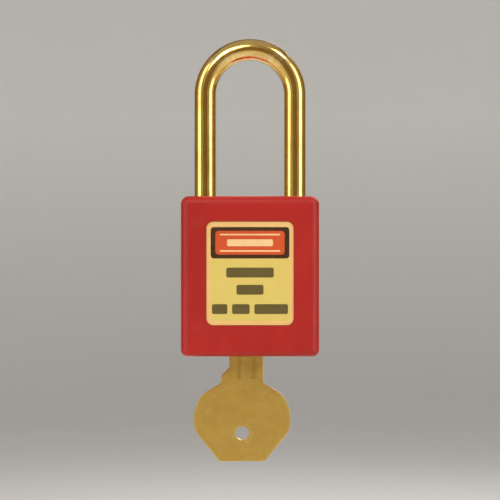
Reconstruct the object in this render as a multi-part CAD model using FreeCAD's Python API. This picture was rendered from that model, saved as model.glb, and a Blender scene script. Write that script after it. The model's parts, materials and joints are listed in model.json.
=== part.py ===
import FreeCAD, Part
import math
import os

# Safety padlock, in millimetres. The front faces -Y, +X is to the right and +Z is up.
# The origin is the inside top of the shackle, where a peg carries the lock.

V = FreeCAD.Vector
X_AXIS = V(1, 0, 0)
Y_AXIS = V(0, 1, 0)
Z_AXIS = V(0, 0, 1)

# ---- driving dimensions ----
body_width = 38.0
body_height = 44.0
body_depth = 20.0
shackle_bar = 6.0        # diameter of the shackle's bar
leg_spacing = 25.0       # between the centres of the two legs
shackle_clearance = 38.0  # inside height, from the body's top to the inside of the bow
shackle_lift = 11.0      # how far the shackle rises when it is released
toe_insertion = 10.5     # how deep the short leg sits in the body
wall = 1.8               # side walls of the housing
roof = 2.0               # top wall of the housing
corner_radius = 2.6      # upright corners of the housing
top_rim_radius = 2.2
bottom_rim_radius = 1.7
inner_corner_radius = 1.0
running_gap = 0.05       # radial clearance of pieces that turn or slide
seat_gap = 0.05          # between pieces that rest against each other
free_gap = 0.1           # round pieces that pass each other freely
block_gap = 0.2          # between the metal block and the housing
overcut = 1.0            # how far a cutting shape runs past the surface that it cuts

label_width = 24.1
label_height = 28.6
label_top_margin = 6.9
label_corner = 2.0
label_recess = 0.6
label_thickness = 0.3

ball_radius = 2.75
ball_bite = 1.5          # how deep a ball sits in its leg
ball_retreat = 3.4       # how far a ball moves in
ball_depth = 5.5         # ball centres, below the body's top

plug_radius = 5.5
cylinder_radius = 7.0
clip_groove_depth = 0.8
pin_count = 6
pin_pitch = 3.8
pin_radius = 1.4
first_pin_height = 4.5   # lowest pin stack, above the body's bottom
key_cuts = [3.0, 2.5, 1.95, 1.25, 0.75, 0.15]  # x of each cut's floor, from the bow to the tip

key_thickness = 2.2
blade_thickness = 2.0
blade_spine_x = -4.85
blade_edge_x = 3.6
groove_depth = 0.55      # of the milled grooves along the blade
ring_hole_radius = 1.9
ring_hole_depth = 21.8   # from the body's bottom to the ring hole
bow_centre_x = -2.2
bow_height = 29.6        # from the body's bottom to the end of the bow

# ---- places worked out from them, with the inner pieces' own small sizes ----
top_z = -shackle_clearance
bottom_z = top_z - body_height
bar_radius = shackle_bar / 2
leg_x = leg_spacing / 2
bow_z = bar_radius - leg_x
inner_top_z = top_z - roof
cover_top_z = bottom_z + wall
leg_bore = bar_radius + running_gap
toe_tip_z = top_z - toe_insertion
ball_z = top_z - ball_depth
ball_x = leg_x - bar_radius + ball_bite - ball_radius
ball_bore = ball_radius + free_gap
block_half_x = body_width / 2 - wall - block_gap
block_half_y = body_depth / 2 - wall - block_gap

screw_radius = 1.5
screw_head_radius = 2.6
screw_head_height = 1.6
screw_room = 1.9         # from the screw's head up to the toe's tip
screw_reach = 2.4        # into the cylinder
web = 2.0                # metal between the toe's bore and the cylinder
toe_bore_floor = toe_tip_z - screw_room - screw_head_height
cylinder_top_z = toe_bore_floor - web
screw_end_z = cylinder_top_z - screw_reach

plug_recess = 0.5        # of the plug's face in the housing's bottom
plug_stub = 1.4          # of the plug past the cylinder's top
cylinder_bottom_z = cover_top_z + seat_gap
plug_face_z = bottom_z + plug_recess
plug_top_z = cylinder_top_z + plug_stub
clip_groove_z = cylinder_top_z + free_gap
clip_thickness = 0.6
clip_radius = 6.6
clip_room = clip_radius + 2 * free_gap
tongue_height = 2.4
tongue_width = 2.4
tongue_length = 6.6

cam_end_gap = 0.15
cam_disc = 1.1           # thickness under the channels
cam_radius = ball_x - ball_radius - free_gap
cam_room = cam_radius + 2 * free_gap
cam_top_z = ball_z + ball_radius + cam_end_gap
cam_floor_z = ball_z - ball_radius - 2 * free_gap
cam_disc_z = cam_floor_z - cam_disc
cam_stem_radius = 4.5
cam_bottom_z = plug_top_z + cam_end_gap

pin_bore = pin_radius + running_gap
pin_heights = [bottom_z + first_pin_height + i * pin_pitch for i in range(pin_count)]
driver_gap = 0.12        # from the plug to the driver pins
driver_start_x = plug_radius + driver_gap
driver_length = 4.0
spring_start_x = driver_start_x + driver_length + seat_gap
spring_length = 3.9
chamber_end_x = spring_start_x + spring_length + seat_gap
chamber_cover_thickness = 0.7
chamber_cover_low_z = cylinder_bottom_z + 0.6
chamber_cover_high_z = screw_end_z - 0.4
chamber_cover_half_y = 2.3
housing_end_x = chamber_end_x + chamber_cover_thickness
housing_half_y = 3.2

stop_pin_radius = 1.0
stop_pin_bite = 1.0
stop_pin_depth = 1.5     # below the cylinder's top
stop_pin_x = -leg_x + bar_radius - stop_pin_bite + stop_pin_radius
stop_pin_z = cylinder_top_z - stop_pin_depth
neck_radius = bar_radius - stop_pin_bite - free_gap
neck_top_z = stop_pin_z + stop_pin_radius + free_gap
neck_bottom_z = stop_pin_z - stop_pin_radius - shackle_lift - seat_gap
heel_foot = 2.9          # full bar left below the neck
heel_end_z = neck_bottom_z - heel_foot

tip_reach = 2.4          # of the blade past the last pin
shoulder_z = plug_face_z - free_gap
tip_z = pin_heights[-1] + tip_reach
ring_hole_z = bottom_z - ring_hole_depth


# ---- small helpers ----
def cylinder_z(radius, low, high, x=0.0, y=0.0):
    return Part.makeCylinder(radius, high - low, V(x, y, low), Z_AXIS)


def cylinder_x(radius, low, high, y=0.0, z=0.0):
    return Part.makeCylinder(radius, high - low, V(low, y, z), X_AXIS)


def cylinder_y(radius, low, high, x=0.0, z=0.0):
    return Part.makeCylinder(radius, high - low, V(x, low, z), Y_AXIS)


def block(low, high):
    """A box between two corners."""
    return Part.makeBox(high[0] - low[0], high[1] - low[1], high[2] - low[2], V(*low))


def centred_block(half_x, half_y, low_z, high_z):
    return block((-half_x, -half_y, low_z), (half_x, half_y, high_z))


def rounded_wire(corners):
    """A closed outline in the XZ plane: straight sides, and a tangent arc at each (x, z, radius)."""
    points = [V(x, 0, z) for x, z, radius in corners]
    count = len(corners)
    starts = []
    ends = []
    arcs = []
    for i in range(count):
        back = (points[i - 1] - points[i]).normalize()
        ahead = (points[(i + 1) % count] - points[i]).normalize()
        half_angle = back.getAngle(ahead) / 2
        radius = corners[i][2]
        if radius == 0:
            starts.append(points[i])
            ends.append(points[i])
            arcs.append(None)
            continue
        reach = radius / math.tan(half_angle)
        centre = points[i] + (back + ahead).normalize() * (radius / math.sin(half_angle))
        middle = centre + (points[i] - centre).normalize() * radius
        starts.append(points[i] + back * reach)
        ends.append(points[i] + ahead * reach)
        arcs.append(middle)
    edges = []
    for i in range(count):
        if arcs[i] is not None:
            edges.append(Part.Arc(starts[i], arcs[i], ends[i]).toShape())
        edges.append(Part.LineSegment(ends[i], starts[(i + 1) % count]).toShape())
    return Part.Wire(edges)


def plate_y(corners, low_y, high_y):
    """A flat plate: the rounded outline in XZ, thickened along Y."""
    outline = rounded_wire(corners)
    outline.translate(V(0, low_y, 0))
    return Part.Face(outline).extrude(V(0, high_y - low_y, 0))


def rectangle(half_x, low_z, high_z, radius):
    return [
        (-half_x, low_z, radius),
        (half_x, low_z, radius),
        (half_x, high_z, radius),
        (-half_x, high_z, radius),
    ]


def edges_where(shape, test):
    return [edge for edge in shape.Edges if test(edge.BoundBox)]


def upright_edges(shape):
    """The edges that run the whole height of a block."""
    height = shape.BoundBox.ZLength
    return edges_where(shape, lambda box: box.ZLength > height - 0.01)


def level_edges(shape, z):
    """The edges that lie flat at a height."""
    return edges_where(shape, lambda box: abs(box.ZMin - z) < 0.01 and abs(box.ZMax - z) < 0.01)


def coil(mean_radius, wire_radius, turns, length):
    """A compression spring along +Z from the origin, as one solid."""
    low = wire_radius
    high = length - wire_radius
    pitch = (high - low) / turns
    path = Part.makeHelix(pitch, high - low, mean_radius)
    path.translate(V(0, 0, low))
    section = Part.Wire(Part.Circle(V(mean_radius, 0, low), Y_AXIS, wire_radius).toShape())
    return Part.Wire(path.Edges).makePipeShell([section], True, True)


def half_turn(shape):
    """The same shape, turned 180 degrees about the lock's vertical axis."""
    turned = shape.copy()
    turned.rotate(V(0, 0, 0), Z_AXIS, 180)
    return turned


# ---- housing and labels ----
def label_corners(inset):
    """The label's outline, drawn in from the edge of its recess by inset."""
    high = top_z - label_top_margin - inset
    low = top_z - label_top_margin - label_height + inset
    return rectangle(label_width / 2 - inset, low, high, label_corner - inset)


def make_body_shell():
    shell = centred_block(body_width / 2, body_depth / 2, bottom_z, top_z)
    shell = shell.makeFillet(corner_radius, upright_edges(shell))
    shell = shell.makeFillet(top_rim_radius, level_edges(shell, top_z))
    shell = shell.makeFillet(bottom_rim_radius, level_edges(shell, bottom_z))
    half_x = body_width / 2 - wall
    half_y = body_depth / 2 - wall
    cavity = centred_block(half_x, half_y, bottom_z - overcut, inner_top_z)
    cavity = cavity.makeFillet(inner_corner_radius, upright_edges(cavity))
    shell = shell.cut(cavity)
    hole_radius = leg_bore + free_gap
    flare = 0.5
    for x in (-leg_x, leg_x):
        hole = cylinder_z(hole_radius, inner_top_z - overcut, top_z + overcut, x)
        lead_in = Part.makeCone(hole_radius, hole_radius + flare, flare, V(x, 0, top_z - flare), Z_AXIS)
        shell = shell.cut(hole.fuse(lead_in))
    front = body_depth / 2
    recess = plate_y(label_corners(0), -front - overcut, -front + label_recess)
    shell = shell.cut([recess, half_turn(recess)])
    return shell.cut(make_snap_ribs(0.06))


def make_snap_ribs(growth):
    """Two low ribs on the ends of the bottom cover, which click into slots in the housing."""
    half_length = 3.0 + growth
    half_height = 0.4 + growth
    inner_x = body_width / 2 - wall
    reach = inner_x + 0.45 + growth
    middle = (bottom_z + cover_top_z) / 2
    low = (-reach, -half_length, middle - half_height)
    high = (reach, half_length, middle + half_height)
    between = centred_block(inner_x - 0.8, half_length + overcut, bottom_z, cover_top_z)
    return block(low, high).cut(between)


def make_bottom_cover():
    half_x = body_width / 2 - wall - seat_gap
    half_y = body_depth / 2 - wall - seat_gap
    plate = centred_block(half_x, half_y, bottom_z + 0.15, cover_top_z)
    plate = plate.makeFillet(inner_corner_radius - seat_gap, upright_edges(plate))
    plate = plate.fuse(make_snap_ribs(0)).removeSplitter()
    opening = plug_radius + 0.7
    bevel = 0.8
    plate = plate.cut(cylinder_z(opening, bottom_z - overcut, cover_top_z + overcut))
    plate = plate.cut(Part.makeCone(opening + bevel, opening, bevel, V(0, 0, bottom_z), Z_AXIS))
    drain_radius = 0.9
    for x in (-leg_x, leg_x):
        plate = plate.cut(cylinder_z(drain_radius, bottom_z - overcut, cover_top_z + overcut, x))
    return plate


def make_front_label():
    edge_gap = 0.12
    glue = 0.01
    back = -body_depth / 2 + label_recess - glue
    return plate_y(label_corners(edge_gap), back - label_thickness + glue, back)


def make_back_label():
    return half_turn(make_front_label())


# ---- metal block ----
def make_lock_block():
    low = cover_top_z + seat_gap
    high = inner_top_z - seat_gap
    body = centred_block(block_half_x, block_half_y, low, high)
    body = body.makeFillet(inner_corner_radius - free_gap, upright_edges(body))
    out_y = block_half_y + overcut
    tools = [
        cylinder_z(leg_bore, low - overcut, high + overcut, -leg_x),
        cylinder_z(leg_bore, toe_bore_floor, high + overcut, leg_x),
        cylinder_x(ball_bore, -leg_x, leg_x, z=ball_z),
        cylinder_z(cam_room, plug_top_z, cam_top_z + free_gap),
        cylinder_z(clip_room, cylinder_top_z - overcut, plug_top_z + free_gap),
        cylinder_z(cylinder_radius + running_gap, low - overcut, cylinder_top_z + seat_gap),
        make_pin_housing(running_gap),
        cylinder_z(screw_radius + free_gap, cylinder_top_z - overcut, toe_bore_floor + overcut, leg_x),
        cylinder_y(stop_pin_radius + 0.01, -out_y, out_y, stop_pin_x, stop_pin_z),
    ]
    for tool in tools:
        body = body.cut(tool)
    return body


# ---- key cylinder ----
def make_pin_housing(growth):
    """The rib on the side of the cylinder that carries the six pin chambers."""
    half_y = housing_half_y + growth
    low = cylinder_bottom_z - growth * 2
    return block((0, -half_y, low), (housing_end_x + growth, half_y, cylinder_top_z + growth))


def make_pin_chamber_cover():
    low = (chamber_end_x, -chamber_cover_half_y, chamber_cover_low_z)
    high = (housing_end_x, chamber_cover_half_y, chamber_cover_high_z)
    cover = block(low, high)
    outer_edges = edges_where(cover, lambda box: box.XMin > housing_end_x - 0.01)
    return cover.makeChamfer(0.25, outer_edges)


def make_cylinder_shell():
    shell = cylinder_z(cylinder_radius, cylinder_bottom_z, cylinder_top_z)
    shell = shell.fuse(make_pin_housing(0)).removeSplitter()
    low = cylinder_bottom_z - overcut
    high = cylinder_top_z + overcut
    shell = shell.cut(cylinder_z(plug_radius + running_gap, low, high))
    for z in pin_heights:
        shell = shell.cut(cylinder_x(pin_bore, plug_radius - overcut, housing_end_x + overcut, z=z))
    slot_low = (chamber_end_x, -chamber_cover_half_y, chamber_cover_low_z)
    slot_high = (housing_end_x + overcut, chamber_cover_half_y, chamber_cover_high_z)
    shell = shell.cut(block(slot_low, slot_high))
    return shell.cut(cylinder_z(screw_radius, screw_end_z - 0.3, high, leg_x))


def make_driver_pins():
    """Six spool-shaped top pins."""
    head = 1.1
    waist_depth = 0.35
    waist_start = driver_start_x + head
    waist_end = driver_start_x + driver_length - head
    pins = []
    for z in pin_heights:
        pin = cylinder_x(pin_radius, driver_start_x, driver_start_x + driver_length, z=z)
        sleeve = cylinder_x(pin_radius + overcut, waist_start, waist_end, z=z)
        core = cylinder_x(pin_radius - waist_depth, waist_start, waist_end, z=z)
        pins.append(pin.cut(sleeve.cut(core)))
    return Part.makeCompound(pins)


def make_pin_springs():
    spring = coil(mean_radius=1.0, wire_radius=0.17, turns=6, length=spring_length)
    spring.rotate(V(0, 0, 0), Y_AXIS, 90)
    springs = []
    for z in pin_heights:
        placed = spring.copy()
        placed.translate(V(spring_start_x, 0, z))
        springs.append(placed)
    return Part.makeCompound(springs)


def blade_grooves(growth):
    """The milled grooves along the blade: two at the front and one at the back."""
    half = blade_thickness / 2
    low_z = bottom_z - 6.5
    high_z = tip_z + overcut
    front, back = -1, 1
    grooves = []
    for x, width, side in ((1.0, 1.5, front), (-3.0, 1.0, front), (-1.0, 1.7, back)):
        floor_y = side * (half - groove_depth + growth)
        open_y = side * (half + overcut)
        y_low, y_high = sorted((floor_y, open_y))
        half_width = width / 2 - growth
        grooves.append(block((x - half_width, y_low, low_z), (x + half_width, y_high, high_z)))
    return grooves


def make_keyway():
    """The slot in the plug: the blade's section with clearance, and ribs that enter its grooves."""
    half = blade_thickness / 2 + free_gap
    low = (blade_spine_x - free_gap, -half, plug_face_z - overcut)
    high = (blade_edge_x + free_gap, half, tip_z + 0.5)
    return block(low, high).cut(blade_grooves(free_gap))


def make_plug():
    plug = cylinder_z(plug_radius, plug_face_z, plug_top_z)
    plug = plug.makeChamfer(0.35, level_edges(plug, plug_face_z))
    tongue = centred_block(tongue_length / 2, tongue_width / 2, plug_top_z, plug_top_z + tongue_height)
    plug = plug.fuse(tongue)
    groove_low = clip_groove_z - seat_gap
    groove_high = clip_groove_z + clip_thickness + seat_gap
    ring = cylinder_z(plug_radius + overcut, groove_low, groove_high)
    core = cylinder_z(plug_radius - clip_groove_depth, groove_low, groove_high)
    plug = plug.cut(ring.cut(core))
    chamber_floor_x = 0.3
    for z in pin_heights:
        plug = plug.cut(cylinder_x(pin_bore, chamber_floor_x, plug_radius + overcut, z=z))
    return plug.cut(make_keyway())


def make_key_pin(index):
    """A bottom pin: conical at the key, rounded to the plug's surface at the shear line."""
    z = pin_heights[index]
    nose_x = key_cuts[index] + 0.03
    nose_radius = 0.55
    taper = pin_radius - nose_radius
    nose = Part.makeCone(nose_radius, pin_radius, taper, V(nose_x, 0, z), X_AXIS)
    shank = cylinder_x(pin_radius, nose_x + taper, plug_radius + overcut, z=z)
    plug_outside = cylinder_z(plug_radius - 0.02, z - 2 * pin_radius, z + 2 * pin_radius)
    return nose.fuse(shank).common(plug_outside).removeSplitter()


def make_plug_retaining_clip():
    low = clip_groove_z
    high = clip_groove_z + clip_thickness
    mouth_half = 3.0
    inner_radius = plug_radius - clip_groove_depth + seat_gap
    ring = cylinder_z(clip_radius, low, high)
    ring = ring.cut(cylinder_z(inner_radius, low - overcut, high + overcut))
    mouth = block((-clip_radius - overcut, -mouth_half, low - overcut), (0, mouth_half, high + overcut))
    return ring.cut(mouth)


def make_cylinder_retaining_screw():
    head_top_z = toe_bore_floor + screw_head_height
    head = cylinder_z(screw_head_radius, toe_bore_floor, head_top_z, leg_x)
    head = head.makeFillet(0.3, level_edges(head, head_top_z))
    shank = cylinder_z(screw_radius - 0.02, screw_end_z, toe_bore_floor, leg_x)
    screw = head.fuse(shank)
    socket_corner = 1.3
    socket_floor_z = toe_bore_floor + 0.5
    corners = []
    for i in range(7):
        angle = i * math.pi / 3
        across = V(math.cos(angle), math.sin(angle), 0) * socket_corner
        corners.append(V(leg_x, 0, socket_floor_z) + across)
    socket = Part.Face(Part.makePolygon(corners)).extrude(V(0, 0, screw_head_height))
    return screw.cut(socket)


# ---- ball cam and balls ----
def ball_channel():
    """The path of the toe ball seen from the turning cam: an arc that winds in by ball_retreat."""
    points = []
    for share in (0.0, 0.5, 1.0):
        distance = ball_x - ball_retreat * share
        angle = -math.pi / 2 * share
        points.append(V(distance * math.cos(angle), distance * math.sin(angle), cam_floor_z))
    centre = Part.Circle(*points).Center
    half_width = ball_radius + 2 * free_gap
    outer = []
    inner = []
    for point in points:
        ray = (point - centre).normalize()
        outer.append(point + ray * half_width)
        inner.append(point - ray * half_width)
    along = (points[2] - centre).normalize().cross(Z_AXIS)
    cap = points[2] + along * half_width
    edges = [
        Part.Arc(*outer).toShape(),
        Part.Arc(outer[2], cap, inner[2]).toShape(),
        Part.Arc(*reversed(inner)).toShape(),
        Part.LineSegment(inner[0], outer[0]).toShape(),
    ]
    return Part.Face(Part.Wire(edges)).extrude(V(0, 0, cam_top_z - cam_floor_z + 1))


def make_ball_cam():
    cam = cylinder_z(cam_radius, cam_disc_z, cam_top_z)
    channel = ball_channel()
    cam = cam.cut([channel, half_turn(channel)])
    stem = cylinder_z(cam_stem_radius, cam_bottom_z, cam_disc_z)
    cam = cam.fuse(stem).removeSplitter()
    half_length = tongue_length / 2 + seat_gap
    half_width = tongue_width / 2 + seat_gap
    slot_top_z = plug_top_z + tongue_height + free_gap
    return cam.cut(centred_block(half_length, half_width, cam_bottom_z - overcut, slot_top_z))


def make_ball(side):
    return Part.makeSphere(ball_radius, V(side * ball_x, 0, ball_z))


# ---- shackle ----
def ball_notch():
    """The notch for the toe ball: round at the top, and a ramp below along which the leg passes it."""
    slope = ball_retreat / shackle_lift
    radius = ball_bore
    travel = shackle_lift * 0.6
    away = V(-slope * travel, 0, -travel)
    ball_centre = V(ball_x, 0, ball_z)
    across = V(1, 0, -slope).normalize() * radius
    far = ball_centre + away
    top = ball_centre - away.normalize() * radius
    edges = [
        Part.LineSegment(ball_centre + across, far + across).toShape(),
        Part.LineSegment(far + across, far - across).toShape(),
        Part.LineSegment(far - across, ball_centre - across).toShape(),
        Part.Arc(ball_centre - across, top, ball_centre + across).toShape(),
    ]
    face = Part.Face(Part.Wire(edges))
    half_y = bar_radius + overcut
    face.translate(V(0, -half_y, 0))
    return face.extrude(V(0, 2 * half_y, 0))


def make_shackle():
    heel_leg = cylinder_z(bar_radius, heel_end_z, bow_z, -leg_x)
    toe_leg = cylinder_z(bar_radius, toe_tip_z, bow_z, leg_x)
    bow = Part.makeTorus(leg_x, bar_radius, V(0, 0, bow_z), Y_AXIS)
    upper = block((-leg_spacing, -leg_spacing, bow_z), (leg_spacing, leg_spacing, leg_spacing))
    bow = bow.common(upper)
    heel_leg = heel_leg.makeChamfer(0.5, level_edges(heel_leg, heel_end_z))
    toe_leg = toe_leg.makeChamfer(0.7, level_edges(toe_leg, toe_tip_z))
    shackle = bow.fuse([heel_leg, toe_leg]).removeSplitter()
    sleeve = cylinder_z(bar_radius + overcut, neck_bottom_z, neck_top_z, -leg_x)
    neck = cylinder_z(neck_radius, neck_bottom_z, neck_top_z, -leg_x)
    shackle = shackle.cut(sleeve.cut(neck))
    notch = ball_notch()
    return shackle.cut([notch, half_turn(notch)])


def make_shackle_spring():
    length = heel_end_z - cover_top_z - 2 * seat_gap
    spring = coil(mean_radius=2.25, wire_radius=0.35, turns=7, length=length)
    spring.translate(V(-leg_x, 0, cover_top_z + seat_gap))
    return spring


def make_shackle_stop_pin():
    half_length = block_half_y - free_gap
    bevel = 0.2
    pin = cylinder_y(stop_pin_radius, -half_length, half_length, stop_pin_x, stop_pin_z)
    return pin.makeChamfer(bevel, edges_where(pin, lambda box: box.YLength < 0.01))


# ---- key ----
def mirrored(right_side):
    """A closed outline about the bow's middle, from its right side as (half width, depth, radius)."""
    right = [(bow_centre_x + half, bottom_z - depth, r) for half, depth, r in right_side]
    left = [(bow_centre_x - half, bottom_z - depth, r) for half, depth, r in reversed(right_side)]
    return right + left


def make_key_bow():
    """A stepped neck over a bow with sloped shoulders, tapered sides, a flat end and a coined rim."""
    neck_depth = 5.8
    neck_half = blade_edge_x - bow_centre_x
    outline = [
        (neck_half, neck_depth, 0),
        (neck_half, 7.8, 1.5),
        (11.5, 11.3, 4.0),
        (13.45, 15.8, 7.0),
        (13.35, 20.8, 4.0),
        (6.3, bow_height, 1.0),
    ]
    half = key_thickness / 2
    bow = plate_y(mirrored(outline), -half, half)
    stop_x = blade_spine_x - 0.95
    neck = [
        (bow_centre_x - neck_half, bottom_z - neck_depth, 0),
        (blade_edge_x, bottom_z - neck_depth, 0),
        (blade_edge_x, shoulder_z, 0),
        (stop_x, shoulder_z, 0.4),
        (stop_x, bottom_z - 3.6, 1.2),
    ]
    bow = bow.fuse(plate_y(neck, -half, half)).removeSplitter()
    bow = bow.makeChamfer(0.2, edges_where(bow, lambda box: box.YLength < 0.001))
    rim_share = 0.84
    middle = 17.6
    panel_sink = 0.15
    panel_outline = [(4.6, 9.4, 1.5)]
    for half_width, depth, radius in outline[2:]:
        panel_depth = middle + (depth - middle) * rim_share
        panel_outline.append((half_width * rim_share, panel_depth, radius * rim_share))
    panel = plate_y(mirrored(panel_outline), -half - overcut, -half + panel_sink)
    return bow.cut([panel, panel.mirror(V(0, 0, 0), Y_AXIS)])


def cut_profile():
    """The blade's edge: a flat at each pin, joined by 45 degree ramps, and a slanted tip."""
    flat = 0.85
    root_z = shoulder_z - 1.0
    corners = [(blade_edge_x, root_z)]
    level = blade_edge_x
    for z, cut in zip(pin_heights, key_cuts):
        start = z - flat
        corners.append((level, start - (level - cut)))
        corners.append((cut, start))
        level = cut
    corners.append((level, tip_z - 0.9))
    corners.append((level - 2.2, tip_z))
    corners.append((blade_spine_x + 1.6, tip_z))
    corners.append((blade_spine_x, tip_z - 1.6))
    corners.append((blade_spine_x, root_z))
    return corners


def make_key():
    half = blade_thickness / 2
    blade = plate_y([(x, z, 0) for x, z in cut_profile()], -half, half)
    key = make_key_bow().fuse(blade).removeSplitter()
    ring_hole = cylinder_y(ring_hole_radius, -key_thickness, key_thickness, bow_centre_x, ring_hole_z)
    return key.cut(blade_grooves(0)).cut(ring_hole)


# ---- all pieces, by node name ----
pieces = {
    "body_shell": make_body_shell(),
    "bottom_cover": make_bottom_cover(),
    "front_label": make_front_label(),
    "back_label": make_back_label(),
    "lock_block": make_lock_block(),
    "cylinder_shell": make_cylinder_shell(),
    "plug": make_plug(),
    "plug_retaining_clip": make_plug_retaining_clip(),
    "driver_pins": make_driver_pins(),
    "pin_springs": make_pin_springs(),
    "pin_chamber_cover": make_pin_chamber_cover(),
    "cylinder_retaining_screw": make_cylinder_retaining_screw(),
    "ball_cam": make_ball_cam(),
    "locking_ball_heel": make_ball(-1),
    "locking_ball_toe": make_ball(1),
    "shackle": make_shackle(),
    "shackle_spring": make_shackle_spring(),
    "shackle_stop_pin": make_shackle_stop_pin(),
    "key": make_key(),
}
for index in range(pin_count):
    pieces["key_pin_%d" % (index + 1)] = make_key_pin(index)

os.makedirs("parts", exist_ok=True)
for name, shape in pieces.items():
    shape.exportStep("parts/%s.step" % name)
    state = "valid" if shape.isValid() else "NOT VALID"
    print(name, len(shape.Solids), "solid(s)", state, round(shape.Volume, 2))
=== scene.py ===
import json
import math

import bmesh
import bpy
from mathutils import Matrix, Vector


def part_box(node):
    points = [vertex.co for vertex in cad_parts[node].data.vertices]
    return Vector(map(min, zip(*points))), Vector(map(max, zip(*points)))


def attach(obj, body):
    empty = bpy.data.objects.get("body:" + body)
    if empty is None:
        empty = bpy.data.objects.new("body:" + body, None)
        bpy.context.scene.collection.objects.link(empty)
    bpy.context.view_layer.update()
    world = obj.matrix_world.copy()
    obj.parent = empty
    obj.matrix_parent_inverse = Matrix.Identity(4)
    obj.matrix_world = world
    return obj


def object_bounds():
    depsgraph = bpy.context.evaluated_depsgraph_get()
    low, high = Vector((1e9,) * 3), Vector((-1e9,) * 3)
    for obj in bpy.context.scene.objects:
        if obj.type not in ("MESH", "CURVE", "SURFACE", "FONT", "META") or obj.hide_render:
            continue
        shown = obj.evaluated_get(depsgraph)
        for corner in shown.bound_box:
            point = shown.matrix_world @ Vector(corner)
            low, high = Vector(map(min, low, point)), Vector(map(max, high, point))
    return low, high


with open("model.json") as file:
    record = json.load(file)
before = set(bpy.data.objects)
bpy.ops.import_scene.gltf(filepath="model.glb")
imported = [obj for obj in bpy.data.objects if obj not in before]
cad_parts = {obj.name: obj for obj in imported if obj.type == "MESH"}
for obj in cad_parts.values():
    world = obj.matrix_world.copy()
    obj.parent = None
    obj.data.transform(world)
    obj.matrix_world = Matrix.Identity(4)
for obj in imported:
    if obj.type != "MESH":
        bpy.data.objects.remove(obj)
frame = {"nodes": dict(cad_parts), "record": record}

# Looks for the safety padlock: materials for every CAD node, the printing on its labels, the stage, the
# lights and the camera. Units are metres, in the CAD model's frame: X right, -Y front, +Z up.

MM = 0.001
cad_low, cad_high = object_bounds()
nodes = frame["nodes"]

# ---- places read from the frame ----
shackle_low, shackle_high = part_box("shackle")
bar_radius = (shackle_high.y - shackle_low.y) / 2
leg_x = shackle_high.x - bar_radius
bow_z = shackle_high.z - bar_radius - leg_x
mounts = {mount["name"]: mount for mount in frame["record"]["mounts"]}
hang_point = Vector(mounts["hang_point"]["pos_m"])
ring_hole = Vector(mounts["key_ring_hole"]["pos_m"])
ring_hole_radius = mounts["key_ring_hole"]["dims"]["r_mm"] * MM
lock_middle = (cad_low + cad_high) / 2
floor_gap = 0.06            # from the key's bow down to the floor
floor_z = cad_low.z - floor_gap

# ---- colours (linear) ----
RED = (0.41, 0.018, 0.012, 1)
RED_DEEP = (0.33, 0.013, 0.009, 1)
RED_WORN = (0.56, 0.075, 0.050, 1)
GOLD = (0.84, 0.57, 0.17, 1)
GOLD_DULL = (0.62, 0.38, 0.09, 1)
GOLD_RUBBED = (0.90, 0.76, 0.46, 1)
BRASS = (0.64, 0.42, 0.10, 1)
BRASS_DARK = (0.52, 0.33, 0.075, 1)
BRASS_BRIGHT = (0.88, 0.66, 0.28, 1)
CREAM = (0.80, 0.51, 0.19, 1)
CREAM_AGED = (0.75, 0.46, 0.16, 1)
PALE_YELLOW = (0.67, 0.52, 0.13, 1)
PALE_YELLOW_AGED = (0.66, 0.49, 0.115, 1)
INK = (0.040, 0.014, 0.004, 1)
INK_AGED = (0.055, 0.020, 0.006, 1)
INK_OLIVE = (0.105, 0.078, 0.016, 1)
INK_OLIVE_AGED = (0.12, 0.09, 0.022, 1)
PRINT_RED = (0.62, 0.085, 0.020, 1)
PRINT_RED_AGED = (0.54, 0.07, 0.018, 1)
PRINT_PALE = (0.88, 0.58, 0.30, 1)
PRINT_PALE_AGED = (0.80, 0.48, 0.22, 1)
TURNED_BRASS = (0.66, 0.47, 0.18, 1)
TURNED_BRASS_DARK = (0.48, 0.32, 0.10, 1)
PIN_BRASS = (0.72, 0.54, 0.24, 1)
STEEL = (0.60, 0.60, 0.62, 1)
STEEL_DARK = (0.42, 0.42, 0.45, 1)
BALL_STEEL = (0.74, 0.74, 0.76, 1)
SCREW_STEEL = (0.52, 0.52, 0.50, 1)
ALUMINIUM = (0.62, 0.62, 0.61, 1)
ALUMINIUM_DARK = (0.48, 0.48, 0.48, 1)
# The floor tones are darker than the wall tones: painted shade that offsets the bright light falling on the
# floor.
FLOOR_PAINT_SHADE_DARKENED = (0.52, 0.51, 0.50, 1)
FLOOR_PAINT_PALE_SHADE_DARKENED = (0.55, 0.54, 0.53, 1)
WALL_PAINT = (0.80, 0.79, 0.77, 1)
WALL_PAINT_PALE = (0.83, 0.82, 0.80, 1)
FLAG_BROWN = (0.29, 0.21, 0.09, 1)
FLAG_BROWN_PALE = (0.32, 0.235, 0.10, 1)
LIGHT_COLOUR = (1.0, 0.98, 0.95)
AIR_COLOUR = (1.0, 0.985, 0.96, 1)


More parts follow.
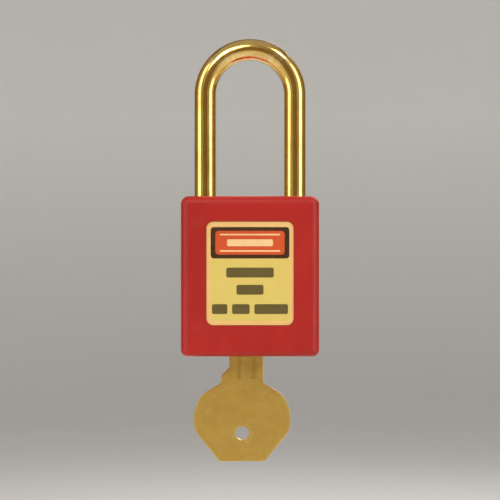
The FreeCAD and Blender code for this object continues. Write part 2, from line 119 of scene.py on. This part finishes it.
class Graph:
    """A new material's node tree, with short calls for the nodes that the materials share."""

    def __init__(self, name, **shader_values):
        self.material = bpy.data.materials.new(name)
        self.material.use_nodes = True
        self.tree = self.material.node_tree
        self.tree.nodes.clear()
        output = self.add("ShaderNodeOutputMaterial")
        self.shader = self.add("ShaderNodeBsdfPrincipled")
        self.tree.links.new(self.shader.outputs[0], output.inputs[0])
        self.place = self.add("ShaderNodeTexCoord").outputs["Object"]
        for label, value in shader_values.items():
            self.shader.inputs[label.replace("_", " ")].default_value = value

    def add(self, kind, **settings):
        node = self.tree.nodes.new(kind)
        for label, value in settings.items():
            setattr(node, label, value)
        return node

    def feed(self, socket, value):
        """Links a socket to another, or sets its own value."""
        if isinstance(value, bpy.types.NodeSocket):
            self.tree.links.new(value, socket)
        else:
            socket.default_value = value

    def calc(self, operation, first, second=0.0, clamp=False):
        node = self.add("ShaderNodeMath", operation=operation, use_clamp=clamp)
        self.feed(node.inputs[0], first)
        self.feed(node.inputs[1], second)
        return node.outputs[0]

    def stretched(self, scales, vector=None):
        node = self.add("ShaderNodeVectorMath", operation="MULTIPLY")
        self.feed(node.inputs[0], vector or self.place)
        node.inputs[1].default_value = scales
        return node.outputs[0]

    def turned(self, degrees, vector=None):
        """The coordinates turned about the Y axis."""
        node = self.add("ShaderNodeVectorRotate", rotation_type="Y_AXIS")
        self.feed(node.inputs["Vector"], vector or self.place)
        node.inputs["Angle"].default_value = math.radians(degrees)
        return node.outputs[0]

    def noise(self, scale, detail=3.0, roughness=0.55, vector=None):
        node = self.add("ShaderNodeTexNoise")
        self.feed(node.inputs["Vector"], vector or self.place)
        node.inputs["Scale"].default_value = scale
        node.inputs["Detail"].default_value = detail
        node.inputs["Roughness"].default_value = roughness
        return node.outputs[0]

    def cells(self, scale, vector=None):
        node = self.add("ShaderNodeTexVoronoi")
        self.feed(node.inputs["Vector"], vector or self.place)
        node.inputs["Scale"].default_value = scale
        return node.outputs["Distance"]

    def span(self, value, low, high, to_low=0.0, to_high=1.0):
        """Maps the value from low..high to 0..1, or to the given ends, and clamps it."""
        node = self.add("ShaderNodeMapRange", clamp=True)
        self.feed(node.inputs["Value"], value)
        node.inputs["From Min"].default_value = low
        node.inputs["From Max"].default_value = high
        node.inputs["To Min"].default_value = to_low
        node.inputs["To Max"].default_value = to_high
        return node.outputs[0]

    def mix(self, share, first, second):
        node = self.add("ShaderNodeMix", data_type="RGBA")
        self.feed(node.inputs[0], share)
        self.feed(node.inputs[6], first)
        self.feed(node.inputs[7], second)
        return node.outputs[2]

    def edges(self, radius, gain=6.0):
        """1 on edges sharper than the radius and 0 on flat faces."""
        soft = self.add("ShaderNodeBevel", samples=4)
        soft.inputs["Radius"].default_value = radius
        geometry = self.add("ShaderNodeNewGeometry")
        dot = self.add("ShaderNodeVectorMath", operation="DOT_PRODUCT")
        self.feed(dot.inputs[0], soft.outputs[0])
        self.feed(dot.inputs[1], geometry.outputs["Normal"])
        return self.calc("MULTIPLY", self.calc("SUBTRACT", 1.0, dot.outputs["Value"]), gain, clamp=True)

    def scratches(self, degrees, scale, width=0.012):
        """Fine straight scratches, broken up along their length."""
        drawn_out = self.stretched((scale, scale, scale * 0.02), self.turned(degrees))
        lines = self.noise(1.0, 1.0, 0.4, drawn_out)
        line = self.span(self.calc("ABSOLUTE", self.calc("SUBTRACT", lines, 0.5)), 0.0, width, 1.0, 0.0)
        broken = self.span(self.noise(140, 2.0), 0.52, 0.66)
        return self.calc("MULTIPLY", line, broken)

    def sum(self, *parts):
        """The sum of (value, weight) pairs."""
        total = 0.0
        for value, weight in parts:
            total = self.calc("ADD", total, self.calc("MULTIPLY", value, weight))
        return total

    def raise_surface(self, height, distance, strength=1.0):
        node = self.add("ShaderNodeBump")
        self.feed(node.inputs["Height"], height)
        node.inputs["Distance"].default_value = distance
        node.inputs["Strength"].default_value = strength
        self.feed(self.shader.inputs["Normal"], node.outputs[0])

    def colour(self, value):
        self.feed(self.shader.inputs["Base Color"], value)

    def rough(self, value):
        self.feed(self.shader.inputs["Roughness"], value)


# ---- materials ----
def moulded_red_nylon():
    """Satin moulded nylon: a fine grain, faint flow marks, rubbed edges and a few hairline scratches."""
    g = Graph("moulded_red_nylon", Coat_Weight=0.03, Coat_Roughness=0.3, Specular_IOR_Level=0.24)
    flow = g.noise(1.0, 4.0, 0.6, g.stretched((90, 90, 38)))
    grain = g.noise(5200, 2.0, 0.6)
    peel = g.noise(520, 2.0, 0.5)
    scratch = g.calc("MAXIMUM", g.scratches(28, 1500), g.scratches(-57, 1900))
    worn = g.calc("MULTIPLY", g.edges(0.9 * MM, 5.0), g.span(g.noise(420, 4.0, 0.7), 0.44, 0.68))
    base = g.mix(g.span(flow, 0.3, 0.7), RED_DEEP, RED)
    marks = g.calc("MAXIMUM", g.calc("MULTIPLY", worn, 0.18), g.calc("MULTIPLY", scratch, 0.35))
    g.colour(g.mix(marks, base, RED_WORN))
    g.rough(g.sum((grain, 0.16), (peel, 0.08), (scratch, 0.12), (worn, 0.1), (1.0, 0.27)))
    g.raise_surface(g.sum((grain, 0.35), (peel, 0.65), (scratch, -0.25)), 0.02 * MM, 0.8)
    return g.material


def cover_red_nylon():
    """The bottom cover: the same nylon, a little duller, with drag marks from being set down."""
    g = Graph("cover_red_nylon", Specular_IOR_Level=0.4)
    grain = g.noise(4200, 2.0, 0.6)
    drag = g.calc("MAXIMUM", g.scratches(90, 900, 0.02), g.scratches(74, 1300, 0.015))
    base = g.mix(g.noise(160, 4.0), RED_DEEP, RED)
    g.colour(g.mix(g.calc("MULTIPLY", drag, 0.4), base, RED_WORN))
    g.rough(g.sum((grain, 0.2), (drag, 0.15), (1.0, 0.32)))
    g.raise_surface(g.sum((grain, 0.6), (drag, -0.4)), 0.02 * MM, 0.8)
    return g.material


def bar_coordinates(g):
    """Across the bar, through it and along it, on the legs and round the bow alike."""
    parts = g.add("ShaderNodeSeparateXYZ")
    g.feed(parts.inputs[0], g.place)
    x, y, z = parts.outputs
    above = g.calc("MAXIMUM", g.calc("SUBTRACT", z, bow_z), 0.0)
    squares = g.calc("ADD", g.calc("MULTIPLY", x, x), g.calc("MULTIPLY", above, above))
    across = g.calc("SQRT", squares)
    turn = g.calc("MULTIPLY", g.calc("ARCTAN2", above, x), leg_x)
    below = g.calc("MINIMUM", g.calc("SUBTRACT", z, bow_z), 0.0)
    along = g.calc("ADD", turn, below)
    joined = g.add("ShaderNodeCombineXYZ")
    for socket, value in zip(joined.inputs, (across, y, along)):
        g.feed(socket, value)
    return joined.outputs[0]


def plated_bar():
    """Polished, warm plated steel: lengthwise polishing lines and light tarnish, rubbed where it hangs."""
    g = Graph("plated_bar", Metallic=1.0, Coat_Weight=0.15, Coat_Roughness=0.08)
    bar = bar_coordinates(g)
    polish = g.noise(1.0, 3.0, 0.6, g.stretched((5200, 5200, 60), bar))
    cloud = g.noise(130, 4.0, 0.6)
    fleck = g.span(g.cells(1500), 0.0, 0.16, 1.0, 0.0)
    fleck = g.calc("MULTIPLY", fleck, g.span(g.noise(260), 0.55, 0.7))
    parts = g.add("ShaderNodeSeparateXYZ")
    g.feed(parts.inputs[0], g.place)
    height = parts.outputs["Z"]
    rub_starts = g.span(height, -2.6 * MM, 0.0)
    rub_ends = g.span(height, 1.2 * MM, 2.4 * MM, 1.0, 0.0)
    rub = g.calc("MULTIPLY", rub_starts, rub_ends)
    rub = g.calc("MULTIPLY", rub, g.span(g.noise(900, 4.0, 0.7), 0.42, 0.6))
    base = g.mix(g.span(cloud, 0.35, 0.75), GOLD, GOLD_DULL)
    base = g.mix(g.calc("MULTIPLY", fleck, 0.5), base, GOLD_DULL)
    g.colour(g.mix(g.calc("MULTIPLY", rub, 0.6), base, GOLD_RUBBED))
    g.rough(g.sum((polish, 0.14), (cloud, 0.08), (fleck, 0.2), (rub, 0.1), (1.0, 0.04)))
    g.raise_surface(g.sum((polish, 0.7), (fleck, -0.6)), 0.006 * MM, 0.6)
    return g.material


def key_brass():
    """Tumbled brass: darker patina on the flats, bright worn edges, fine dings, a rubbed ring hole."""
    g = Graph("key_brass", Metallic=1.0)
    patina = g.noise(170, 5.0, 0.65)
    dings = g.span(g.cells(1100), 0.0, 0.35)
    grain = g.noise(3800, 3.0, 0.6)
    scratch = g.calc("MAXIMUM", g.scratches(12, 1700, 0.02), g.scratches(-48, 1400, 0.016))
    edge = g.calc("MULTIPLY", g.edges(0.3 * MM, 4.0), g.span(g.noise(600, 3.0), 0.35, 0.6))
    offset = g.add("ShaderNodeVectorMath", operation="DISTANCE")
    g.feed(offset.inputs[0], g.stretched((1, 0, 1)))
    offset.inputs[1].default_value = (ring_hole.x, 0, ring_hole.z)
    ring = g.span(offset.outputs["Value"], ring_hole_radius, 3.6 * MM, 1.0, 0.0)
    ring = g.calc("MULTIPLY", ring, g.span(g.noise(1300, 3.0), 0.4, 0.65))
    rubbed = g.calc("MAXIMUM", g.calc("MULTIPLY", scratch, 0.5), g.calc("MULTIPLY", ring, 0.7))
    bright = g.calc("MAXIMUM", edge, rubbed)
    base = g.mix(g.span(patina, 0.32, 0.72), BRASS, BRASS_DARK)
    g.colour(g.mix(g.calc("MULTIPLY", bright, 0.75), base, BRASS_BRIGHT))
    g.rough(g.sum((patina, 0.16), (grain, 0.12), (bright, -0.12), (1.0, 0.30)))
    g.raise_surface(g.sum((dings, 0.5), (grain, 0.3), (scratch, -0.4)), 0.02 * MM, 0.7)
    return g.material


def label_film(name, tone, tone_aged, base_rough=0.22):
    """Printed polyester film under a clear laminate: faint mottle, tiny waves and fine scratches."""
    g = Graph(name, Coat_Weight=0.35, Coat_Roughness=0.12)
    mottle = g.noise(240, 5.0, 0.6)
    fibre = g.noise(3600, 2.0, 0.5)
    scratch = g.scratches(63, 1600, 0.014)
    base = g.mix(g.span(mottle, 0.3, 0.75), tone, tone_aged)
    g.colour(g.mix(g.calc("MULTIPLY", scratch, 0.2), base, tone))
    g.rough(g.sum((fibre, 0.1), (scratch, 0.15), (mottle, 0.06), (1.0, base_rough)))
    g.raise_surface(g.sum((g.noise(330, 2.0), 0.7), (fibre, 0.3)), 0.008 * MM, 0.6)
    return g.material


def lightened(tone, gain):
    """The tone made brighter by the gain, no part of it above 1."""
    return tuple(min(1.0, part * gain) for part in tone)


def turned_metal(name, tone, tone_dark, axis, base_rough=0.22):
    """Metal turned on a lathe: fine rings about its axis, with a little staining."""
    g = Graph(name, Metallic=1.0)
    parts = g.add("ShaderNodeSeparateXYZ")
    g.feed(parts.inputs[0], g.place)
    along = parts.outputs["XYZ".index(axis)]
    first, second = [parts.outputs[i] for i in range(3) if "XYZ"[i] != axis]
    squares = g.calc("ADD", g.calc("MULTIPLY", first, first), g.calc("MULTIPLY", second, second))
    joined = g.add("ShaderNodeCombineXYZ")
    g.feed(joined.inputs[0], g.calc("SQRT", squares))
    g.feed(joined.inputs[1], along)
    rings = g.noise(6500, 2.0, 0.5, joined.outputs[0])
    stain = g.noise(420, 4.0, 0.6)
    edge = g.edges(0.2 * MM, 4.0)
    base = g.mix(g.span(stain, 0.35, 0.75), tone, tone_dark)
    g.colour(g.mix(g.calc("MULTIPLY", edge, 0.5), base, lightened(tone, 1.35)))
    g.rough(g.sum((rings, 0.2), (stain, 0.1), (1.0, base_rough)))
    g.raise_surface(rings, 0.006 * MM, 0.7)
    return g.material


def cast_metal(name, tone, tone_dark, base_rough=0.42):
    """Die-cast metal: a sandy skin with flow stains and small pits."""
    g = Graph(name, Metallic=1.0)
    sand = g.noise(2600, 4.0, 0.7)
    stain = g.noise(190, 4.0, 0.6)
    pits = g.span(g.cells(900), 0.0, 0.12, 1.0, 0.0)
    g.colour(g.mix(g.span(stain, 0.3, 0.7), tone, tone_dark))
    g.rough(g.sum((sand, 0.2), (pits, 0.2), (1.0, base_rough)))
    g.raise_surface(g.sum((sand, 0.7), (pits, -0.5)), 0.02 * MM, 0.8)
    return g.material


def rolled_metal(name, tone, tone_dark, base_rough):
    """Rolled, drawn or plated metal: soft mottle, tiny specks and slightly brighter edges."""
    g = Graph(name, Metallic=1.0)
    mottle = g.noise(700, 4.0, 0.6)
    speck = g.span(g.cells(2600), 0.0, 0.14, 1.0, 0.0)
    edge = g.edges(0.2 * MM, 3.0)
    base = g.mix(g.span(mottle, 0.3, 0.75), tone, tone_dark)
    g.colour(g.mix(g.calc("MULTIPLY", edge, 0.4), base, lightened(tone, 1.3)))
    g.rough(g.sum((mottle, 0.14), (speck, 0.1), (1.0, base_rough)))
    g.raise_surface(g.sum((mottle, 0.5), (speck, -0.5)), 0.006 * MM, 0.6)
    return g.material


def assign(material, *names):
    """Gives CAD nodes a material in every slot they have."""
    for name in names:
        for slot in nodes[name].material_slots:
            slot.material = material


def dress_cad_nodes():
    """Every CAD node gets its material."""
    assign(moulded_red_nylon(), "body_shell")
    assign(cover_red_nylon(), "bottom_cover")
    assign(plated_bar(), "shackle")
    assign(key_brass(), "key")
    assign(label_film("label_border_film", CREAM, CREAM_AGED), "front_label", "back_label")
    plug_brass = turned_metal("turned_brass_plug", TURNED_BRASS, TURNED_BRASS_DARK, "Z")
    assign(plug_brass, "plug", "cylinder_shell")
    key_pins = ["key_pin_%d" % (i + 1) for i in range(6)]
    pin_brass = turned_metal("turned_brass_pins", PIN_BRASS, TURNED_BRASS_DARK, "X", 0.16)
    assign(pin_brass, "driver_pins", *key_pins)
    cover_brass = rolled_metal("chamber_cover_brass", TURNED_BRASS, TURNED_BRASS_DARK, 0.25)
    assign(cover_brass, "pin_chamber_cover")
    assign(cast_metal("cast_aluminium", ALUMINIUM, ALUMINIUM_DARK), "lock_block")
    assign(turned_metal("sintered_cam_steel", STEEL, STEEL_DARK, "Z", 0.34), "ball_cam")
    ball_steel = rolled_metal("polished_ball_steel", BALL_STEEL, STEEL, 0.06)
    assign(ball_steel, "locking_ball_heel", "locking_ball_toe")
    spring_steel = rolled_metal("drawn_spring_steel", STEEL, STEEL_DARK, 0.2)
    assign(spring_steel, "pin_springs", "shackle_spring")
    clip_steel = rolled_metal("plated_clip_steel", STEEL, STEEL_DARK, 0.28)
    assign(clip_steel, "plug_retaining_clip", "shackle_stop_pin")
    screw_steel = rolled_metal("plated_screw_steel", SCREW_STEEL, STEEL_DARK, 0.24)
    assign(screw_steel, "cylinder_retaining_screw")


# ---- label printing ----
PRINT_LAYER = 0.02 * MM      # thickness of one printed layer
PRINT_OVERLAP = 0.005 * MM   # how far a layer reaches into the one under it
CORNER_STEPS = 8


def rounded_outline(half_x, half_z, radius):
    """Points of a rounded rectangle about the origin, counter-clockwise seen from the front."""
    points = []
    for corner in range(4):
        sign_x = 1 if corner in (0, 3) else -1
        sign_z = 1 if corner in (0, 1) else -1
        for step in range(CORNER_STEPS + 1):
            angle = math.pi / 2 * (corner + step / CORNER_STEPS)
            x = sign_x * (half_x - radius) + radius * math.cos(angle)
            z = sign_z * (half_z - radius) + radius * math.sin(angle)
            points.append((x, z))
    return points


def printed_plates(name, plates, label, layer, material):
    """Thin raised ink on a label. Each plate is (x, depth below the label's top, width, height, radius)."""
    low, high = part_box(label)
    front = label == "front_label"
    face = low.y if front else high.y
    outward = -1 if front else 1
    inner_y = face + outward * (PRINT_LAYER * layer - PRINT_OVERLAP)
    outer_y = face + outward * PRINT_LAYER * (layer + 1)
    mesh = bmesh.new()
    for x, depth, width, height, radius in plates:
        centre_x = x if front else -x
        centre_z = high.z - depth - height / 2
        outline = rounded_outline(width / 2, height / 2, radius)
        back_ring = [mesh.verts.new((centre_x + u, inner_y, centre_z + v)) for u, v in outline]
        front_ring = [mesh.verts.new((centre_x + u, outer_y, centre_z + v)) for u, v in outline]
        mesh.faces.new(front_ring)
        mesh.faces.new(list(reversed(back_ring)))
        count = len(outline)
        for i in range(count):
            j = (i + 1) % count
            mesh.faces.new((front_ring[i], back_ring[i], back_ring[j], front_ring[j]))
    bmesh.ops.recalc_face_normals(mesh, faces=mesh.faces)
    data = bpy.data.meshes.new(name)
    mesh.to_mesh(data)
    mesh.free()
    piece = bpy.data.objects.new(name, data)
    bpy.context.scene.collection.objects.link(piece)
    data.materials.append(material)
    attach(piece, "case")


def print_labels():
    """A generic print with no lettering. Each label has a dark header over a pale panel. The front has a
    red field with pale stripes in its header, and plain bars below. The back has writing lines."""
    low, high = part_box("front_label")
    width = high.x - low.x
    margin = 1.15 * MM
    panel_width = width - 2 * margin
    header_top = 1.5 * MM
    header_height = 8.6 * MM
    panel_top = header_top + header_height
    panel_height = high.z - low.z - panel_top - margin
    corner = 0.9 * MM
    ink = label_film("print_ink_dark", INK, INK_AGED, 0.2)
    ink_olive = label_film("print_ink_olive", INK_OLIVE, INK_OLIVE_AGED, 0.24)
    red = label_film("print_ink_red", PRINT_RED, PRINT_RED_AGED, 0.2)
    pale = label_film("print_ink_pale", PRINT_PALE, PRINT_PALE_AGED, 0.2)
    yellow = label_film("print_ink_yellow", PALE_YELLOW, PALE_YELLOW_AGED, 0.22)
    for label in ("front_label", "back_label"):
        side = label.split("_")[0]
        header = [(0, header_top, panel_width, header_height, corner)]
        panel = [(0, panel_top, panel_width, panel_height, corner)]
        printed_plates(side + "_label_header", header, label, 0, ink)
        printed_plates(side + "_label_panel", panel, label, 0, yellow)
    field_inset = 1.05 * MM
    field_top = header_top + field_inset
    field_height = header_height - 2 * field_inset
    field_width = panel_width - 2.6 * MM
    field = [(0, field_top, field_width, field_height, corner)]
    stripe_height = 0.42 * MM
    stripe_corner = 0.18 * MM
    stripe_inset = 0.8 * MM
    stripe_width = field_width - 2.4 * MM
    mark_height = 1.9 * MM
    mark_corner = 0.4 * MM
    mark_width = field_width - 6.4 * MM
    upper_stripe = field_top + stripe_inset
    lower_stripe = field_top + field_height - stripe_inset - stripe_height
    mark_top = field_top + (field_height - mark_height) / 2
    stripes = [
        (0, upper_stripe, stripe_width, stripe_height, stripe_corner),
        (0, mark_top, mark_width, mark_height, mark_corner),
        (0, lower_stripe, stripe_width, stripe_height, stripe_corner),
    ]
    printed_plates("front_label_header_field", field, "front_label", 1, red)
    printed_plates("front_label_header_stripes", stripes, "front_label", 2, pale)
    rows = [                    # each row's depth, and its words' lengths in millimetres
        (12.6 * MM, [13.0]),
        (17.3 * MM, [7.4]),
        (22.6 * MM, [4.2, 4.8, 9.2]),
    ]
    word_height = 2.7 * MM
    word_corner = 0.5 * MM
    word_gap = 1.3
    words = []
    for depth, widths in rows:
        total = sum(widths) + word_gap * (len(widths) - 1)
        start = -total / 2
        for word in widths:
            words.append(((start + word / 2) * MM, depth, word * MM, word_height, word_corner))
            start += word + word_gap
    printed_plates("front_label_word_bars", words, "front_label", 1, ink_olive)
    first_line = 13.6
    line_pitch = 3.8
    line_width = panel_width - 3.0 * MM
    line_height = 0.28 * MM
    line_corner = 0.13 * MM
    lines = []
    for i in range(4):
        lines.append((0, (first_line + line_pitch * i) * MM, line_width, line_height, line_corner))
    printed_plates("back_label_writing_lines", lines, "back_label", 1, ink_olive)


# ---- stage, lights and camera ----
def pale_stage_material_painted_floor_shade():
    """Pale matt paint with the faintest unevenness. The floor is painted darker than the wall: painted
    shade that offsets the strong light on the floor.
    """
    g = Graph("pale_stage_paint_painted_floor_shade", Specular_IOR_Level=0.2)
    parts = g.add("ShaderNodeSeparateXYZ")
    g.feed(parts.inputs[0], g.place)
    painted_shade_fade_height = 0.25
    # Painted shade: the floor's paint is darker and lightens to the wall's paint over the fade height,
    # offsetting the light on the floor.
    painted_shade_fade_up_wall = g.span(parts.outputs["Z"], floor_z, floor_z + painted_shade_fade_height)
    unevenness = g.noise(4, 3.0)
    floor_painted_shade = g.mix(unevenness, FLOOR_PAINT_SHADE_DARKENED, FLOOR_PAINT_PALE_SHADE_DARKENED)
    wall_paint = g.mix(unevenness, WALL_PAINT, WALL_PAINT_PALE)
    g.colour(g.mix(painted_shade_fade_up_wall, floor_painted_shade, wall_paint))
    g.rough(g.span(g.noise(60), 0.0, 1.0, 0.8, 0.95))
    return g.material


def make_stage():
    """A pale round floor that curves up into a wall all round the lock and the camera."""
    flat_radius = 0.8
    bend = 0.8
    bend_steps = 12
    wall_height = 2.2
    profile = [(flat_radius * share, 0.0) for share in (0.25, 0.5, 0.75, 1.0)]
    for step in range(1, bend_steps + 1):
        angle = math.pi / 2 * step / bend_steps
        profile.append((flat_radius + bend * math.sin(angle), bend * (1 - math.cos(angle))))
    profile.append((flat_radius + bend, wall_height))
    mesh = bmesh.new()
    around = 96
    centre = mesh.verts.new((0, 0, floor_z))
    rings = []
    for radius, height in profile:
        ring = []
        for i in range(around):
            angle = 2 * math.pi * i / around
            x = radius * math.cos(angle)
            y = radius * math.sin(angle)
            ring.append(mesh.verts.new((x, y, floor_z + height)))
        rings.append(ring)
    for i in range(around):
        j = (i + 1) % around
        mesh.faces.new((centre, rings[0][i], rings[0][j]))
        for inner, outer in zip(rings, rings[1:]):
            mesh.faces.new((inner[i], outer[i], outer[j], inner[j]))
    data = bpy.data.meshes.new("pale_floor")
    mesh.to_mesh(data)
    mesh.free()
    for face in data.polygons:
        face.use_smooth = True
    floor = bpy.data.objects.new("pale_floor", data)
    bpy.context.scene.collection.objects.link(floor)
    data.materials.append(pale_stage_material_painted_floor_shade())


def flag_cloth():
    """Dull brown cloth for the cards that shape the reflections."""
    g = Graph("flag_cloth", Specular_IOR_Level=0.05)
    g.colour(g.mix(g.noise(300), FLAG_BROWN, FLAG_BROWN_PALE))
    g.rough(1.0)
    return g.material


def dark_flag(name, radius, facing, spread, low, high, material):
    """A dark curved card round the lock, seen only in reflections. Angles are in degrees from the front."""
    steps = 12
    mesh = bmesh.new()
    columns = []
    for i in range(steps + 1):
        angle = math.radians(facing + spread * (i / steps - 0.5))
        x = radius * math.sin(angle)
        y = -radius * math.cos(angle)
        columns.append([mesh.verts.new((x, y, z)) for z in (low, high)])
    for first, second in zip(columns, columns[1:]):
        mesh.faces.new((first[0], second[0], second[1], first[1]))
    data = bpy.data.meshes.new(name)
    mesh.to_mesh(data)
    mesh.free()
    data.materials.append(material)
    flag = bpy.data.objects.new(name, data)
    bpy.context.scene.collection.objects.link(flag)
    flag.visible_camera = False
    flag.visible_diffuse = False
    flag.visible_shadow = False


def make_dark_flags():
    """Behind the camera, at both sides, and high at the back: they give the bright metal its dark lines."""
    cloth = flag_cloth()
    dark_flag("front_flag", 1.0, 0, 46, -0.55, 0.55, cloth)
    dark_flag("left_flag", 0.9, -125, 50, -0.45, 0.45, cloth)
    dark_flag("right_flag", 0.9, 125, 50, -0.45, 0.45, cloth)
    dark_flag("high_back_flag", 0.8, 180, 150, 0.25, 1.1, cloth)


def aim(thing, place, target):
    """Puts a light or camera at the place, looking at the target."""
    thing.location = place
    thing.rotation_euler = (Vector(target) - Vector(place)).to_track_quat("-Z", "Y").to_euler()


def soft_light(name, place, target, width, height, power, in_gloss=True, spread=180):
    """A rectangular soft light of the power in watts, with its spread in degrees."""
    data = bpy.data.lights.new(name, "AREA")
    data.shape = "RECTANGLE"
    data.size = width
    data.size_y = height
    data.energy = power
    data.spread = math.radians(spread)
    data.color = LIGHT_COLOUR
    light = bpy.data.objects.new(name, data)
    light.visible_camera = False
    light.visible_glossy = in_gloss
    bpy.context.scene.collection.objects.link(light)
    aim(light, place, target)


def make_lights():
    """Two tall strips draw the bright lines on the shackle; the softboxes and the air fill the rest."""
    strip_x = 0.53
    strip_y = -0.28
    strip_z = lock_middle.z + 0.02
    soft_light("left_strip", (-strip_x, strip_y, strip_z), lock_middle, 0.28, 0.90, 2.0)
    soft_light("right_strip", (strip_x, strip_y, strip_z), lock_middle, 0.28, 0.90, 2.5)
    soft_light("front_softbox", (-0.30, -0.85, 0.62), lock_middle, 0.5, 0.5, 4.5)
    soft_light("top_right_softbox", (0.34, -0.30, 0.52), hang_point, 0.14, 0.14, 0.9)
    soft_light("top_softbox", (0.0, 0.25, 0.85), lock_middle, 0.9, 0.6, 2.5, in_gloss=False)
    soft_light("back_softbox", (0.30, 0.85, 0.50), lock_middle, 0.4, 0.4, 1.2, spread=40)
    world = bpy.data.worlds.new("studio_air")
    world.use_nodes = True
    air = world.node_tree.nodes["Background"]
    air.inputs["Color"].default_value = AIR_COLOUR
    air.inputs["Strength"].default_value = 0.45
    bpy.context.scene.world = world


def make_camera():
    """Straight from the front with a long lens, the lock filling most of the frame's height."""
    data = bpy.data.cameras.new("front_camera")
    data.sensor_width = 36.0
    data.lens = 135.0
    camera = bpy.data.objects.new("front_camera", data)
    bpy.context.scene.collection.objects.link(camera)
    fill = 0.86                 # share of the frame that the lock takes up
    frame_height = (cad_high.z - cad_low.z) / fill
    distance = frame_height * data.lens / data.sensor_width
    place = (lock_middle.x, cad_low.y - distance, lock_middle.z)
    aim(camera, place, (lock_middle.x, 0, lock_middle.z))
    data.clip_start = 0.01
    bpy.context.scene.camera = camera


dress_cad_nodes()
print_labels()
make_stage()
make_dark_flags()
make_lights()
make_camera()
bpy.context.scene.view_settings.view_transform = "Standard"
